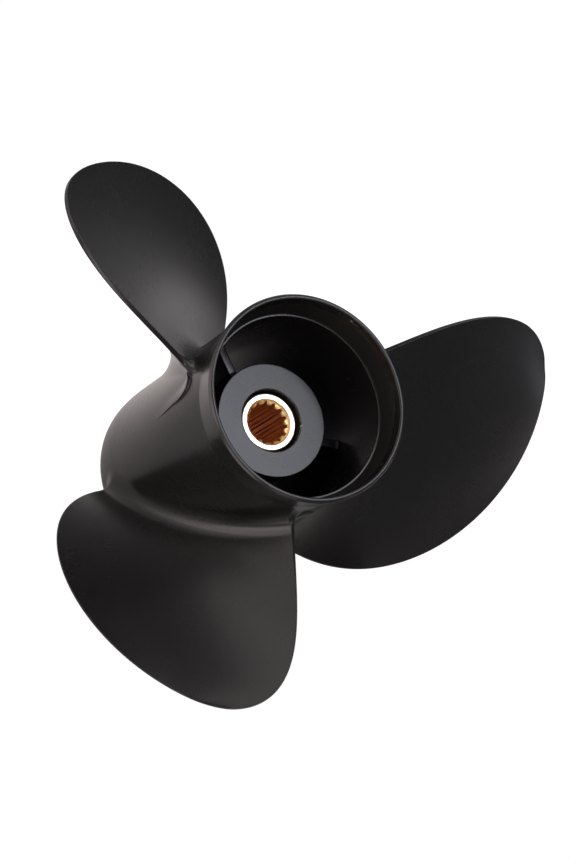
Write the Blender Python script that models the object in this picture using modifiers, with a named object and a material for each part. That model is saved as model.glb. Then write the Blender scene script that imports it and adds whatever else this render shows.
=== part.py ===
"""Right-hand three-blade propeller of an outboard motor, with exhaust through the hub.

It stands on the forward end of its barrel. +Z is the shaft's line and points aft, to the
end where the exhaust leaves and the propeller nut sits. Lengths are in metres.
"""
import math

import bmesh
import bpy
import numpy as np
from mathutils import Matrix

# Overall sizes
DIAMETER = 0.3355
LENGTH = 0.1614
PITCH = 0.490
BLADES = 3
GAP = 0.0003
MERGE_DISTANCE = 0.00001

# Barrel: a thin tube with a rounded nose and a flared mouth
NOSE_RADIUS = 0.0501
NOSE_LENGTH = 0.024
BARREL_RADIUS_FORWARD = 0.0527
BARREL_RADIUS_AFT = 0.0540
FLARE_RADIUS = 0.0571
FLARE_LENGTH = 0.0200
RIM_BEVEL = 0.00115
RIM_BEVEL_LENGTH = 0.0017
MOUTH_RADIUS = 0.0542
MOUTH_DEPTH = 0.0169
MOUTH_STEP = 0.0010
PASSAGE_RADIUS_AFT = 0.0497
PASSAGE_RADIUS_FORWARD = 0.0468
RIM_STEPS = 3
NOSE_STEPS = 6
BARREL_SEGMENTS = 96

# Inner hub: the tube that holds the rubber bush
HUB_RADIUS = 0.0316
HUB_FORWARD = 0.010
HUB_AFT = LENGTH - 0.0451
HUB_EDGE = 0.0010
HUB_MOUTH_RADIUS = 0.0174
HUB_MOUTH_DEPTH = 0.012
BUSH_RADIUS = 0.0262
HUB_SEGMENTS = 64

# Splined sleeve
SLEEVE_RADIUS = 0.0159
SLEEVE_FORWARD = 0.0115
SLEEVE_AFT = LENGTH - 0.0487
SLEEVE_EDGE = 0.0004
CHAMFER_RADIUS = 0.0129
SPLINE_TEETH = 15
SPLINE_TIP_RADIUS = 0.0106
SPLINE_FLANK_RADIUS = 0.0117
SPLINE_ROOT_RADIUS = 0.0120
SPLINE_TIP_HALF_ANGLE = math.radians(6.3)
SPLINE_FLANK_HALF_ANGLE = math.radians(4.7)
SPLINE_ROOT_HALF_ANGLE = math.radians(1.9)
SPLINE_ANGLE = math.radians(11.5)
BLANK_BORE_RADIUS = 0.0101
BUSH_FORWARD = 0.013

# Ribs between the inner hub and the barrel
RIB_ANGLE = math.radians(82)
RIB_THICKNESS = 0.0050
RIB_ROUNDING = 0.0024
RIB_STEPS = 4
RIB_OVERREACH = 0.003
RIB_AFT = LENGTH - 0.0629
RIB_FORWARD = 0.012

# Blade outline, from the barrel to the tip in equal steps of the span's quarter sine:
# chord along the pitch helix, then the angle and the height of the chord's middle
BLADE_ROOT_RADIUS = 0.054
BLADE_CHORDS = (0.1276, 0.1453, 0.1428, 0.1101, 0.0554, 0.0)
BLADE_MIDDLE_ANGLES = (85.1, 83.8, 88.1, 94.2, 99.6, 101.2)
BLADE_MIDDLE_HEIGHTS = (0.0714, 0.0846, 0.1006, 0.1173, 0.1292, 0.1318)

# Blade sections, and the fillet round the blade's root, which is small behind the trailing edge
TRAILING_THICKNESS = 0.0028
LEADING_THICKNESS = 0.0020
ROOT_BULGE = 0.0075
TIP_BULGE = 0.0016
FULL_BULGE_CHORD = 0.05
BULGE_SHARPNESS = 1.5
FACE_HOLLOW = 0.012
FILLET_RADIUS = 0.012
BACK_FILLET_RADIUS = 0.0028
BACK_FILLET_START = 0.35
ROOT_SINK = 0.002
ENVELOPE_BORE = 0.02
FILLET_ROWS = 5
SPAN_ROWS = 15
LAST_SHARE = 0.995
CHORD_POINTS = 20
EDGE_POINTS = 5


def empty_scene():
    for thing in list(bpy.data.objects):
        bpy.data.objects.remove(thing, do_unlink=True)


def collection(name):
    group = bpy.data.collections.new(name)
    bpy.context.scene.collection.children.link(group)
    return group


def material(name, colour, roughness, metallic):
    made = bpy.data.materials.new(name)
    made.use_nodes = True
    surface = made.node_tree.nodes["Principled BSDF"]
    surface.inputs["Base Color"].default_value = (*colour, 1.0)
    surface.inputs["Roughness"].default_value = roughness
    surface.inputs["Metallic"].default_value = metallic
    return made


def black_paint(name):
    return material(name, (0.012, 0.012, 0.013), 0.38, 0.0)


def black_rubber():
    return material("bush_rubber", (0.015, 0.014, 0.013), 0.75, 0.0)


def brass():
    return material("sleeve_brass", (0.72, 0.47, 0.20), 0.30, 1.0)


def add_object(name, mesh, group, surface=None):
    thing = bpy.data.objects.new(name, mesh)
    group.objects.link(thing)
    if surface:
        mesh.materials.append(surface)
    return thing


def shade(mesh, angle=30):
    mesh.shade_smooth()
    mesh.set_sharp_from_angle(angle=math.radians(angle))


def turned(name, profile, segments, group, surface=None):
    """A solid of revolution: profile runs down the outer side and back up the inner one."""
    mesh = bpy.data.meshes.new(name)
    points = [(radius, 0, height) for radius, height in profile]
    count = len(points)
    edges = [(i, (i + 1) % count) for i in range(count)]
    mesh.from_pydata(points, edges, [])
    thing = add_object(name, mesh, group, surface)
    screw = thing.modifiers.new("turn", "SCREW")
    screw.steps = segments
    screw.render_steps = segments
    screw.use_merge_vertices = True
    screw.merge_threshold = MERGE_DISTANCE
    return thing


def baked(thing):
    """The object with its modifiers applied to its mesh."""
    graph = bpy.context.evaluated_depsgraph_get()
    mesh = bpy.data.meshes.new_from_object(thing.evaluated_get(graph))
    thing.modifiers.clear()
    thing.data = mesh
    return thing


def make_cutter(thing):
    thing.hide_render = True
    thing.display_type = "WIRE"
    return thing


def boolean(thing, cutter, operation):
    step = thing.modifiers.new(operation.lower(), "BOOLEAN")
    step.operation = operation
    step.object = cutter
    step.solver = "EXACT"


def arc(centre, sizes, start, end, steps):
    """Points along a quarter ellipse, angles in degrees."""
    angles = np.radians(np.linspace(start, end, steps + 1))
    return [(centre[0] + sizes[0] * math.cos(a), centre[1] + sizes[1] * math.sin(a)) for a in angles]


def barrel_outside():
    """Profile of the barrel's outer side, from its rim down to its forward end."""
    rim_centre = (FLARE_RADIUS - RIM_BEVEL, LENGTH - RIM_BEVEL_LENGTH)
    bevel = arc(rim_centre, (RIM_BEVEL, RIM_BEVEL_LENGTH), 90, 0, RIM_STEPS)
    crease = [(BARREL_RADIUS_AFT, LENGTH - FLARE_LENGTH)]
    nose_size = (BARREL_RADIUS_FORWARD - NOSE_RADIUS, NOSE_LENGTH)
    nose = arc((NOSE_RADIUS, NOSE_LENGTH), nose_size, 0, -90, NOSE_STEPS)
    return bevel + crease + nose


def barrel_radius(height):
    """Outer radius of the barrel at a height, as a number or an array."""
    profile = np.array(barrel_outside()[::-1])
    return np.interp(height, profile[:, 1], profile[:, 0])


def barrel_inside():
    """Profile of the barrel's inner side, from its forward end up to its rim."""
    step_height = LENGTH - MOUTH_DEPTH
    return [
        (PASSAGE_RADIUS_FORWARD, 0),
        (PASSAGE_RADIUS_AFT, step_height),
        (PASSAGE_RADIUS_AFT + MOUTH_STEP, step_height),
        (MOUTH_RADIUS, LENGTH),
    ]


def make_barrel(group):
    profile = barrel_outside() + barrel_inside()
    barrel = turned("barrel", profile, BARREL_SEGMENTS, group, black_paint("barrel_paint"))
    shade(baked(barrel).data)


def make_inner_hub(group):
    profile = [
        (HUB_RADIUS - HUB_EDGE, HUB_AFT),
        (HUB_RADIUS, HUB_AFT - HUB_EDGE),
        (HUB_RADIUS, HUB_FORWARD + HUB_EDGE),
        (HUB_RADIUS - HUB_EDGE, HUB_FORWARD),
        (BUSH_RADIUS, HUB_FORWARD),
        (BUSH_RADIUS, HUB_AFT - HUB_MOUTH_DEPTH),
        (HUB_MOUTH_RADIUS, HUB_AFT - HUB_MOUTH_DEPTH),
        (HUB_MOUTH_RADIUS, HUB_AFT),
    ]
    hub = turned("inner_hub", profile, HUB_SEGMENTS, group, black_paint("hub_paint"))
    shade(baked(hub).data)


def make_rubber_bush(group):
    aft = HUB_AFT - HUB_MOUTH_DEPTH - GAP
    profile = [
        (BUSH_RADIUS - GAP, aft),
        (BUSH_RADIUS - GAP, BUSH_FORWARD),
        (SLEEVE_RADIUS + GAP, BUSH_FORWARD),
        (SLEEVE_RADIUS + GAP, aft),
    ]
    bush = turned("rubber_bush", profile, HUB_SEGMENTS, group, black_rubber())
    shade(baked(bush).data)


def spline_outline():
    """The bore's outline: narrow grooves between wide teeth, each corner a point."""
    half_groove = [
        (SPLINE_TIP_RADIUS, SPLINE_TIP_HALF_ANGLE),
        (SPLINE_FLANK_RADIUS, SPLINE_FLANK_HALF_ANGLE),
        (SPLINE_ROOT_RADIUS, SPLINE_ROOT_HALF_ANGLE),
    ]
    groove = [(radius, -angle) for radius, angle in half_groove] + half_groove[::-1]
    outline = []
    for index in range(SPLINE_TEETH):
        middle = SPLINE_ANGLE + index * 2 * math.pi / SPLINE_TEETH
        outline += [(r * math.cos(middle + a), r * math.sin(middle + a)) for r, a in groove]
    return outline


def make_spline_cutter(group):
    """The bore's outline as a flat curve, raised past both ends of the sleeve."""
    outline = spline_outline()
    curve = bpy.data.curves.new("spline_bore", "CURVE")
    curve.dimensions = "2D"
    curve.fill_mode = "BOTH"
    curve.extrude = LENGTH / 2
    line = curve.splines.new("POLY")
    line.points.add(len(outline) - 1)
    for point, (x, y) in zip(line.points, outline):
        point.co = (x, y, 0, 1)
    line.use_cyclic_u = True
    drawn = bpy.data.objects.new("spline_outline", curve)
    group.objects.link(drawn)
    graph = bpy.context.evaluated_depsgraph_get()
    mesh = bpy.data.meshes.new_from_object(drawn.evaluated_get(graph))
    bpy.data.objects.remove(drawn)
    raw = bmesh.new()
    raw.from_mesh(mesh)
    bmesh.ops.remove_doubles(raw, verts=raw.verts, dist=MERGE_DISTANCE)
    bmesh.ops.recalc_face_normals(raw, faces=raw.faces)
    raw.to_mesh(mesh)
    raw.free()
    cutter = add_object("spline_bore", mesh, group)
    cutter.location.z = LENGTH / 2
    return make_cutter(cutter)


def make_spline_sleeve(group, cutters):
    chamfer = CHAMFER_RADIUS - BLANK_BORE_RADIUS
    profile = [
        (SLEEVE_RADIUS - SLEEVE_EDGE, SLEEVE_AFT),
        (SLEEVE_RADIUS, SLEEVE_AFT - SLEEVE_EDGE),
        (SLEEVE_RADIUS, SLEEVE_FORWARD + SLEEVE_EDGE),
        (SLEEVE_RADIUS - SLEEVE_EDGE, SLEEVE_FORWARD),
        (CHAMFER_RADIUS, SLEEVE_FORWARD),
        (BLANK_BORE_RADIUS, SLEEVE_FORWARD + chamfer),
        (BLANK_BORE_RADIUS, SLEEVE_AFT - chamfer),
        (CHAMFER_RADIUS, SLEEVE_AFT),
    ]
    sleeve = turned("spline_sleeve", profile, HUB_SEGMENTS, group, brass())
    boolean(sleeve, make_spline_cutter(cutters), "DIFFERENCE")
    bpy.context.view_layer.update()
    shade(baked(sleeve).data)


def make_passage(cutters):
    """The space between the inner hub and the barrel, less a gap on both sides."""
    top = LENGTH - MOUTH_DEPTH
    profile = [
        (PASSAGE_RADIUS_AFT - GAP, top),
        (PASSAGE_RADIUS_FORWARD - GAP, 0),
        (HUB_RADIUS + GAP, 0),
        (HUB_RADIUS + GAP, top),
    ]
    return make_cutter(baked(turned("passage", profile, BARREL_SEGMENTS, cutters)))


def rib_plate(turn):
    """A flat plate from inside the hub's wall to inside the barrel's, with a rounded aft edge."""
    inner = HUB_RADIUS - RIB_OVERREACH
    outer = PASSAGE_RADIUS_AFT + RIB_OVERREACH
    made = bmesh.new()
    bmesh.ops.create_cube(made, size=1)
    size = Matrix.Diagonal((outer - inner, RIB_THICKNESS, RIB_AFT - RIB_FORWARD, 1))
    place = Matrix.Translation(((inner + outer) / 2, 0, (RIB_AFT + RIB_FORWARD) / 2))
    bmesh.ops.transform(made, matrix=place @ size, verts=made.verts)
    aft_edges = []
    for edge in made.edges:
        along_x = abs(edge.verts[0].co.x - edge.verts[1].co.x) > GAP
        aft = min(vertex.co.z for vertex in edge.verts) > RIB_AFT - GAP
        if along_x and aft:
            aft_edges.append(edge)
    bmesh.ops.bevel(
        made, geom=aft_edges, offset=RIB_ROUNDING, segments=RIB_STEPS, profile=0.5, affect="EDGES"
    )
    bmesh.ops.transform(made, matrix=Matrix.Rotation(turn, 4, "Z"), verts=made.verts)
    return made


def make_ribs(group, passage):
    for index in range(BLADES):
        name = f"rib_{index + 1}"
        made = rib_plate(RIB_ANGLE + index * 2 * math.pi / BLADES)
        mesh = bpy.data.meshes.new(name)
        made.to_mesh(mesh)
        made.free()
        rib = add_object(name, mesh, group, black_paint(f"{name}_paint"))
        boolean(rib, passage, "INTERSECT")
        bpy.context.view_layer.update()
        shade(baked(rib).data)


def along_span(values, share):
    """A smooth curve through the blade's stations, for shares of the span from 0 to 1."""
    stations = np.linspace(0, 1, len(values))
    return np.polyval(np.polyfit(stations, values, len(values) - 1), share)


def share_at(radius):
    """The share of the span at which the blade has a radius."""
    reach = (radius - BLADE_ROOT_RADIUS) / (DIAMETER / 2 - BLADE_ROOT_RADIUS)
    return np.arcsin(np.clip(reach, 0, 1)) * 2 / math.pi


def section_template():
    """The points round a blade section, each as share of the chord from the leading edge,
    depth as a share of the thickness, rounding, direction outward in degrees, and root fillet.
    """
    share = (1 - np.cos(np.linspace(0, math.pi, CHORD_POINTS))) / 2
    small = np.clip((share - BACK_FILLET_START) / (1 - BACK_FILLET_START), 0, 1)
    small = small * small * (3 - 2 * small)
    back_fillets = FILLET_RADIUS + (BACK_FILLET_RADIUS - FILLET_RADIUS) * small
    fan = np.linspace(90, -90, EDGE_POINTS + 2)[1:-1]
    edge_fillets = np.linspace(FILLET_RADIUS, BACK_FILLET_RADIUS, EDGE_POINTS + 2)[1:-1]
    edge_depths = (1 - np.sin(np.radians(fan))) / 2
    points = [(u, 0, 0, 90, FILLET_RADIUS) for u in share]
    points += [(1, *edge) for edge in zip(edge_depths, 0 * fan, fan, edge_fillets)]
    points += [(u, 1, 0, -90, fillet) for u, fillet in zip(share[::-1], back_fillets[::-1])]
    points += [(0, 0.5, LEADING_THICKNESS / 2, 180 + turn, FILLET_RADIUS) for turn in fan]
    return np.array(points)


def blade_section(template, radius, growth):
    """Outline of a section: along the chord, then out of the pressure face.

    Growth moves each point outward.
    """
    share, depth, rounding, turn = template[:, :4].T
    span = np.clip((radius - BLADE_ROOT_RADIUS) / (DIAMETER / 2 - BLADE_ROOT_RADIUS), 0, 1)
    chord = np.maximum(along_span(BLADE_CHORDS, share_at(radius)), 0)
    hump = 4 * share * (1 - share)
    bulge = (ROOT_BULGE + (TIP_BULGE - ROOT_BULGE) * span) * np.minimum(1, chord / FULL_BULGE_CHORD)
    thickness = LEADING_THICKNESS + (TRAILING_THICKNESS - LEADING_THICKNESS) * share
    thickness += bulge * hump**BULGE_SHARPNESS
    out = rounding + growth
    along = (share - 0.5) * chord + out * np.cos(np.radians(turn))
    level = -FACE_HOLLOW * chord * hump - depth * thickness + out * np.sin(np.radians(turn))
    return along, level


def blade_loop(template, radius, growth=0.0, from_barrel=None):
    """One closed loop of the blade's surface, wrapped on its pitch helix.

    Near the root it is measured from the barrel, and farther out from the shaft's line.
    """
    share = share_at(radius)
    slope = np.arctan2(PITCH, 2 * math.pi * radius)
    along, level = blade_section(template, radius, growth)
    turn = (along * np.cos(slope) - level * np.sin(slope)) / radius
    angle = np.radians(along_span(BLADE_MIDDLE_ANGLES, share)) + turn
    height = along_span(BLADE_MIDDLE_HEIGHTS, share) + along * np.sin(slope) + level * np.cos(slope)
    reach = radius if from_barrel is None else barrel_radius(height) + from_barrel
    return np.stack([reach * np.cos(angle), reach * np.sin(angle), height], axis=1)


def blade_mesh():
    """The blade as loops from inside the barrel, up the root fillet and out to the tip."""
    template = section_template()
    fillet = template[:, 4]
    loops = [blade_loop(template, BLADE_ROOT_RADIUS, fillet, -ROOT_SINK)]
    for turn in np.linspace(math.pi / 2, 0, FILLET_ROWS + 1)[:-1]:
        height = fillet * (1 - math.sin(turn))
        growth = fillet * (1 - math.cos(turn))
        loops.append(blade_loop(template, BLADE_ROOT_RADIUS + height, growth, height))
    first = share_at(BLADE_ROOT_RADIUS + FILLET_RADIUS)
    for share in np.linspace(first, LAST_SHARE, SPAN_ROWS):
        reach = (DIAMETER / 2 - BLADE_ROOT_RADIUS) * math.sin(math.pi * share / 2)
        loops.append(blade_loop(template, BLADE_ROOT_RADIUS + reach))
    made = bmesh.new()
    rings = [[made.verts.new(point) for point in loop] for loop in loops]
    count = len(rings[0])
    for lower, upper in zip(rings, rings[1:]):
        for i in range(count):
            j = (i + 1) % count
            made.faces.new((lower[i], lower[j], upper[j], upper[i]))
    for ring in (rings[0], rings[-1]):
        for i in range(-(EDGE_POINTS // 2) - 1, CHORD_POINTS + EDGE_POINTS // 2):
            j = 2 * CHORD_POINTS + EDGE_POINTS - 1 - i
            corners = [ring[i], ring[i + 1], ring[(j - 1) % count], ring[j % count]]
            made.faces.new(list(dict.fromkeys(corners)))
    bmesh.ops.recalc_face_normals(made, faces=made.faces)
    mesh = bpy.data.meshes.new("blade")
    made.to_mesh(mesh)
    made.free()
    return mesh


def make_barrel_envelope(cutters):
    """The barrel with its bore filled, one gap larger all round."""
    outside = [(radius + GAP, height) for radius, height in barrel_outside()]
    profile = [(ENVELOPE_BORE, LENGTH + GAP)] + outside + [(ENVELOPE_BORE, -GAP)]
    return make_cutter(baked(turned("barrel_envelope", profile, BARREL_SEGMENTS, cutters)))


def make_blades(group, envelope):
    for index in range(BLADES):
        name = f"blade_{index + 1}"
        mesh = blade_mesh()
        mesh.transform(Matrix.Rotation(index * 2 * math.pi / BLADES, 4, "Z"))
        blade = add_object(name, mesh, group, black_paint(f"{name}_paint"))
        boolean(blade, envelope, "DIFFERENCE")
        bpy.context.view_layer.update()
        shade(baked(blade).data)


def main():
    empty_scene()
    propeller = collection("propeller")
    cutters = collection("cutters")
    make_barrel(propeller)
    make_inner_hub(propeller)
    make_rubber_bush(propeller)
    make_spline_sleeve(propeller, cutters)
    make_ribs(propeller, make_passage(cutters))
    make_blades(propeller, make_barrel_envelope(cutters))


main()
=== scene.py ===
"""Dressed model of a satin black outboard propeller with a splined bronze sleeve.

Each solid is replaced by a finer piece with rounded edges, in the same place.
+Z is the shaft's line and points aft. Lengths are in metres.
"""
import math

import bmesh
import bpy
import numpy as np
from mathutils import Matrix, Vector


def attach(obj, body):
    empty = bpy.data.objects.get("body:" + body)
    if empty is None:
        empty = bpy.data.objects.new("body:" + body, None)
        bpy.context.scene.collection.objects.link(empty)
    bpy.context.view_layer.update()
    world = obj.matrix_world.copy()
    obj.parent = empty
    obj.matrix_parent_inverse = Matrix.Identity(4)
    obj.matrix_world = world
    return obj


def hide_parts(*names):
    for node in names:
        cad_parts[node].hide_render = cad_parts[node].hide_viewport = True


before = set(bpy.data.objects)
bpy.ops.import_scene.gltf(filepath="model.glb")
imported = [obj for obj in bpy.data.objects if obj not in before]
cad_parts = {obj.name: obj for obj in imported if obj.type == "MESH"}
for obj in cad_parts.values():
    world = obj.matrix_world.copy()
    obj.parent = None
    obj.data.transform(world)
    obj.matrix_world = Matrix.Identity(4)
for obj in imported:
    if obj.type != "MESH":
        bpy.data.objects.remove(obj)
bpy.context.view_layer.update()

# Overall sizes
DIAMETER = 0.3355
LENGTH = 0.1614
PITCH = 0.490
BLADES = 3

# Barrel
NOSE_RADIUS = 0.0501
NOSE_LENGTH = 0.024
BARREL_RADIUS_FORWARD = 0.0527
BARREL_RADIUS_AFT = 0.0540
FLARE_RADIUS = 0.0571
FLARE_LENGTH = 0.0200
CREASE_ROUNDING = 0.004
RIM_BEVEL = 0.00115
RIM_BEVEL_LENGTH = 0.0017
RIM_CREST_ROUNDING = 0.0009
RIM_SIDE_ROUNDING = 0.0006
RIM_INNER_ROUNDING = 0.0011
MOUTH_RADIUS = 0.0542
MOUTH_DEPTH = 0.0169
MOUTH_STEP = 0.0010
PASSAGE_RADIUS_AFT = 0.0497
PASSAGE_RADIUS_FORWARD = 0.0468
PASSAGE_END_ROUNDING = 0.0008
SHARP_EDGE = 0.0002
NOSE_END_ANGLE = -86
NOSE_STEPS = 16
BARREL_SEGMENTS = 288

# Inner hub and rubber bush
HUB_RADIUS = 0.0316
HUB_FORWARD = 0.010
HUB_AFT = LENGTH - 0.0451
HUB_EDGE = 0.0005
HUB_SEAT_EDGE = 0.0003
HUB_MOUTH_RADIUS = 0.0174
HUB_MOUTH_DEPTH = 0.012
BUSH_RADIUS = 0.0262
BUSH_FORWARD = 0.013
BUSH_EDGE = 0.0006
BUSH_LIP_EDGE = 0.0008
BUSH_GROOVE_HALF_WIDTH = 0.0022
BUSH_GROOVE_DEPTH = 0.0012
BUSH_GROOVE_ROUNDING = 0.0010
HUB_SEGMENTS = 192
PRESS_FIT_GAP = 0.0003

# Splined sleeve
SLEEVE_RADIUS = 0.0159
SLEEVE_FORWARD = 0.0115
SLEEVE_AFT = LENGTH - 0.0487
SLEEVE_EDGE = 0.0006
EDGE_MARGIN = 0.00012
WALL_ROWS = 24
CHAMFER_RADIUS = 0.0131
SPLINE_TEETH = 15
SPLINE_TIP_RADIUS = 0.0106
SPLINE_ROOT_RADIUS = 0.0120
SPLINE_FLANK_RADIUS = 0.0117
SPLINE_TIP_HALF_ANGLE = 6.3
SPLINE_FLANK_HALF_ANGLE = 4.7
SPLINE_ROOT_HALF_ANGLE = 1.9
SPLINE_TIP_ROUNDING = 0.00045
SPLINE_FLANK_ROUNDING = 0.00035
SPLINE_ANGLE = math.radians(11.5)

# Sunken end of the teeth: radius, and depth below the sleeve's face
TOOTH_END = (
    (0.0130, 0.00004), (0.0129, 0.00012), (0.0122, 0.0013), (0.0120, 0.00155),
    (0.0113, 0.0021), (0.0109, 0.0026), (0.0107, 0.0031), (0.0106, 0.0036),
)

# Ribs between the inner hub and the barrel
RIB_ANGLE = math.radians(82)
RIB_THICKNESS = 0.0050
RIB_FILLET = 0.0026
RIB_CORNER = 0.0009
RIB_SINK = 0.0008
RIB_AFT = LENGTH - 0.0629
RIB_FORWARD = 0.012
RIB_CORNER_POINTS = 8
RIB_ROWS = 41

# Blade outline, from the barrel to the tip in equal steps of the span's quarter sine
BLADE_ROOT_RADIUS = 0.054
BLADE_CHORDS = (0.1276, 0.1453, 0.1428, 0.1101, 0.0554, 0.0)
BLADE_MIDDLE_ANGLES = (85.1, 83.8, 88.1, 94.2, 99.6, 101.2)
BLADE_MIDDLE_HEIGHTS = (0.0714, 0.0846, 0.1006, 0.1173, 0.1292, 0.1318)
TRAILING_THICKNESS = 0.0028
TRAILING_CORNER = 0.0004
LEADING_THICKNESS = 0.0020
ROOT_BULGE = 0.0075
TIP_BULGE = 0.0016
FULL_BULGE_CHORD = 0.05
BULGE_SHARPNESS = 1.5
FACE_HOLLOW = 0.012
FILLET_RADIUS = 0.012
BACK_FILLET_RADIUS = 0.0028
BACK_FILLET_START = 0.35
ROOT_SINK = 0.0012
ROOT_DIP = 0.00002
ROOT_OVERLAP = 0.0005
FILLET_ROWS = 22
SPAN_ROWS = 80
TIP_ROWS = 14
CHORD_POINTS = 70
CORNER_POINTS = 7
FLAT_POINTS = 5
NOSE_POINTS = 15
FOLLOW_HEIGHT = 0.045

# Parting ledge from each trailing edge's root onto the barrel, as steps along the chord and
# out of the pressure face, from the middle of the blade's root
LEDGE_PATH = (
    (0.0628, -0.0027), (0.0645, -0.0031), (0.0660, -0.0036), (0.0688, -0.0045),
    (0.0711, -0.0066), (0.0716, -0.0092), (0.0705, -0.0122), (0.0663, -0.0174),
    (0.0584, -0.0237), (0.0497, -0.0312), (0.0407, -0.0385),
)
LEDGE_HEIGHT = 0.0014
LEDGE_FIRST_HEIGHT = 0.3
LEDGE_RISE = 0.12
LEDGE_FALL = 1.25
LEDGE_FALL_POWER = 1.3
LEDGE_HOLLOW = 0.7
LEDGE_HOLLOW_ANGLES = (90, 12)
LEDGE_HOLLOW_POINTS = 9
# Lip at the ledge's top, as shares of its height, across and up
LEDGE_LIP = ((-0.08, 0.80), (-0.03, 0.95), (0.06, 1.0))
LEDGE_LIP_END = 0.1
LEDGE_WIDTH = 0.0085
LEDGE_LEAST_WIDTH = 0.35
LEDGE_LAND_POINTS = 14
LEDGE_SKIRT = 0.0002
LEDGE_DIP = 0.00003
LEDGE_SINK = 0.0007
LEDGE_ROWS = 90
RAY_RADIUS = 0.0705

# Black paint: noise scales per metre, colours, roughness and bump heights
PAINT_WAVES = 30
PAINT_MOTTLE = 160
PAINT_GRAIN = 900
PAINT_DARK = (0.0076, 0.0063, 0.0065, 1)
PAINT_LIGHT = (0.0098, 0.0086, 0.0088, 1)
# Colour inside the barrel's mouth, darker as painted shade
PAINT_SHADE_IN_MOUTH = (0.0040, 0.0036, 0.0036, 1)
PAINT_ROUGHNESS = 0.24
WAVE_ROUGHNESS = 0.04
MOTTLE_ROUGHNESS = 0.02
MOUTH_ROUGHNESS = 0.26
WAVE_HEIGHT = 0.000012
MOTTLE_HEIGHT = 0.0000008
GRAIN_HEIGHT = 0.0000006

# Rubber of the bush
RUBBER_GRAIN = 700
RUBBER_CLOUD = 90
RUBBER_DARK = (0.010, 0.010, 0.010, 1)
RUBBER_LIGHT = (0.018, 0.017, 0.016, 1)
RUBBER_ROUGHNESS = 0.70
RUBBER_GRAIN_ROUGHNESS = 0.15
RUBBER_GRAIN_HEIGHT = 0.00002

# Bronze of the sleeve: pairs of colours for its faces, its gold chamfer and the red-brown painted
# shade of its bore
BRONZE_CLOUD = 300
TURNED_LINES = 9000
FACE_COLOURS = ((0.93, 0.84, 0.66, 1), (0.97, 0.90, 0.76, 1))
GOLD_COLOURS = ((0.90, 0.62, 0.30, 1), (0.95, 0.72, 0.40, 1))
BORE_SHADE_COLOURS = ((0.42, 0.14, 0.030, 1), (0.58, 0.23, 0.055, 1))
# A thin dark line on the chamfer: painted shade
SHADE_LINE_COLOUR = (0.35, 0.18, 0.07, 1)
SHADE_LINE_RADIUS = 0.0127
SHADE_LINE_HALF_WIDTH = 0.0001
SHADE_LINE_STRENGTH = 0.6
BRONZE_ROUGHNESS = 0.26
TURNED_ROUGHNESS = 0.12
INSIDE_ROUGHNESS = 0.14
TURNED_HEIGHT = 0.000002
# The bore's red-brown painted shade starts below the teeth's ends, which sink towards the shaft,
# and fades in
TOOTH_END_SLOPE = 0.90
TOOTH_END_DEPTH = 0.0020
BORE_SHADE_DEPTH = 0.0010

# Camera, fitted to the photo's outlines
LENS = 141.97
SENSOR = 36
CAMERA_TURN = math.radians(30.594)
CAMERA_ROLL = math.radians(31.020)
CAMERA_DISTANCE = 1.7849
CAMERA_CLIP = (0.1, 30)
AIM_HEIGHT = 0.160
CAMERA_OFFSET = (0.01038, 0.01780)

# Studio sheets
STUDIO_SIZE = 6.0
WALL_THICKNESS = 0.1
WALL_SEGMENTS = 48
WHITE_GREY = 0.25
WHITE_GLOW = 0.985
WHITE_CLOUD = 6
WHITE_ROUGHNESS = 0.8
WHITE_CLOUD_ROUGHNESS = 0.1

# Lights, each softbox with its azimuth, elevation, size, brightness and colour
LIGHT_DISTANCE = 1.2
WORLD_LIGHT = 0.18
NEUTRAL = (1.0, 0.93, 0.92)
WARM = (1.0, 0.90, 0.86)
COOL = (0.88, 0.90, 1.0)
SOFTBOXES = (
    ("top", 0, 69, (0.42, 0.46), 5.8, COOL),
    ("top_back", 240, 72, (0.45, 0.35), 2.5, NEUTRAL),
    ("front_high", 345, 55, (0.40, 0.40), 0.6, COOL),
    ("right_high", 285, 56, (0.40, 0.38), 1.7, COOL),
    ("far_left_high", 45, 40, (0.40, 0.38), 1.1, NEUTRAL),
    ("left_high", 90, 42, (0.45, 0.38), 1.4, NEUTRAL),
    ("left_middle", 100, 24, (0.80, 0.35), 1.0, NEUTRAL),
    ("left_low", 120, 7, (1.10, 0.35), 0.75, WARM),
    ("left_low_middle", 128, 6, (0.50, 0.28), 2.0, WARM),
    ("left_low_back", 152, 8, (0.42, 0.35), 3.2, WARM),
    ("back_low", 196, 9, (0.75, 0.26), 3.5, WARM),
    ("back_middle", 160, 33, (0.80, 0.50), 2.4, WARM),
    ("back_right", 238, 9, (0.45, 0.26), 1.2, NEUTRAL),
)
# Narrow lamps that reach the sleeve alone: azimuth, elevation and power
BORE_LAMPS = (("bore_lamp_left", 122, 50, 85), ("bore_lamp_right", 225, 52, 52))
BORE_LAMP_RADIUS = 0.01
BORE_LAMP_CONE = math.radians(1.4)
BORE_LAMP_FADE = 0.3

# The floor that the paint mirrors: bright spots and one shaded patch, each with its centre,
# radius and strength, then the spots' green and blue shares and the grey between them
FLOOR_SPOTS = (
    ((0.02, 0.08), 0.13, 0.90),
    ((0.20, 0.00), 0.15, 0.70),
    ((-0.70, 1.00), 1.10, 1.60),
    ((0, 0), 0.03, 1.80),
)
FLOOR_SHADE = ((0.085, 0.09), 0.065, 0.85)
FLOOR_TINT = (0.90, 0.89)
FLOOR_GREY = 0.55
FLOOR_ROUGHNESS = 0.9


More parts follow.
